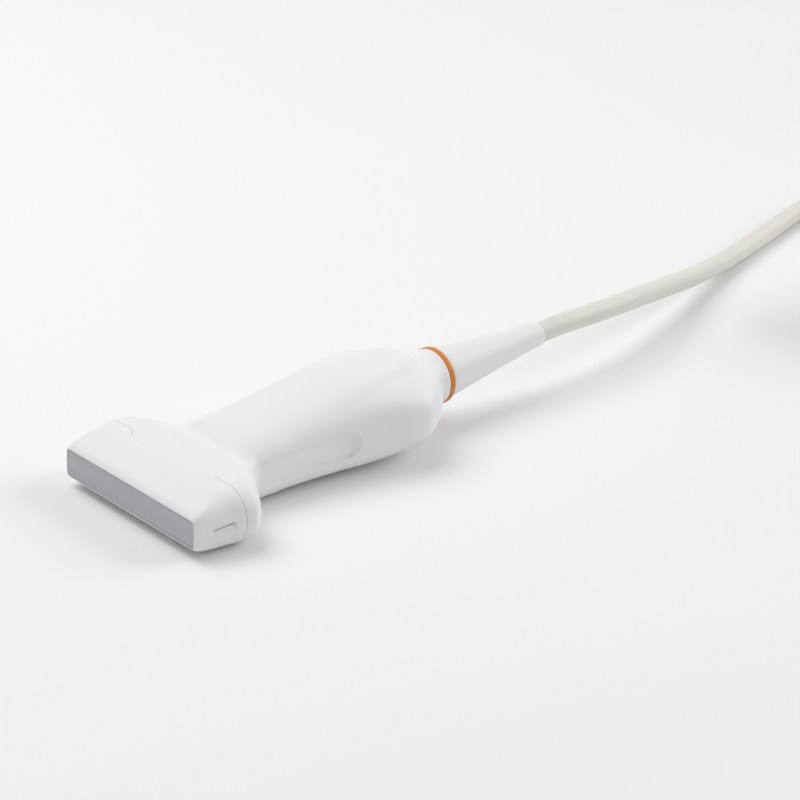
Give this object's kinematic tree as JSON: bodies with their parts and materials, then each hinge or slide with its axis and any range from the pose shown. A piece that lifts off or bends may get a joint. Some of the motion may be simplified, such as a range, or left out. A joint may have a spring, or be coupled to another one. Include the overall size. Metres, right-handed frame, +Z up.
{
  "type": "ultrasound scanner probe",
  "caption": "Linear-array ultrasound handpiece with rectangular nose, waisted grip, coloured ring and strain relief, on a coiled lead with a lever-locked plug.",
  "frame": {"origin": "middle of the handpiece's footprint on the table it lies on", "axes": "+Y from the lens face towards the tail, +Z up from the table, +X to the right"},
  "size_m": [0.133, 0.4654, 0.0415],
  "materials": {
    "lens_rubber": "smooth grey silicone, satin",
    "matching_epoxy": "filled epoxy sheet",
    "piezo_ceramic": "diced ceramic",
    "backing_absorber": "filled absorber",
    "frame_alloy": "machined",
    "flex_film": "amber film with copper tracks",
    "circuit_board": "solder mask",
    "connector_plastic": "moulded connector",
    "ferrite": "small moulded coils",
    "steel": "zinc-plated and stainless small parts",
    "wire_jackets": "fine coaxial wires",
    "shield_metal": "thin drawn screen",
    "white_shell": "fine satin moulding",
    "seal_rubber": "moulded seal",
    "crimp_brass": "crimped",
    "orange_ring": "moulded colour ring",
    "relief_rubber": "smooth white sleeve",
    "lead_jacket": "cream cable jacket",
    "strap": "hook and loop strap",
    "plug_plastic": "fine textured moulding",
    "shroud_metal": "plated shroud",
    "contact_plastic": "moulded contact block",
    "contact_gold": "gold-plated pins",
    "lever_plastic": "grey moulded lever"
  },
  "bodies": {
    "probe": {"acoustic_lens": "lens_rubber", "matching_layer": "matching_epoxy", "piezo_elements": "piezo_ceramic", "backing_block": "backing_absorber", "array_frame": "frame_alloy", "flex_circuit_upper": "flex_film", "flex_circuit_lower": "flex_film", "probe_board": "circuit_board", "flex_sockets": "connector_plastic", "tuning_coils": "ferrite", "board_screws": "steel", "coax_fanout": "wire_jackets", "shield_sleeve": "shield_metal", "nose_cap": "white_shell", "nose_seal": "seal_rubber", "housing_upper": "white_shell", "housing_lower": "white_shell", "crimp_ferrule": "crimp_brass", "tail_seal": "seal_rubber", "colour_ring": "orange_ring", "strain_relief": "relief_rubber", "lead_inner_ends": "lead_jacket", "lead": "lead_jacket", "lead_coil": "lead_jacket", "coil_tie": "strap", "lead_plug_end": "lead_jacket", "plug_strain_relief": "relief_rubber", "plug_cover_upper": "plug_plastic", "plug_cover_lower": "plug_plastic", "plug_shroud": "shroud_metal", "shroud_gasket": "seal_rubber", "contact_block": "contact_plastic", "contact_pins": "contact_gold", "plug_board": "circuit_board", "plug_harness": "wire_jackets", "lead_clamp": "steel", "lead_clamp_screws": "steel", "cover_screws": "steel", "shaft_bush": "crimp_brass"},
    "lock": {"lock_shaft": "steel", "shaft_clip": "steel", "lock_lever": "lever_plastic", "lever_screw": "steel"}
  },
  "joints": [
    {"name": "lock_turn", "type": "hinge", "parent": "probe", "child": "lock", "pos_m": [0.047, 0.251, 0.02], "axis": [0, 0, 1], "range_deg": [0, 90]}
  ]
}
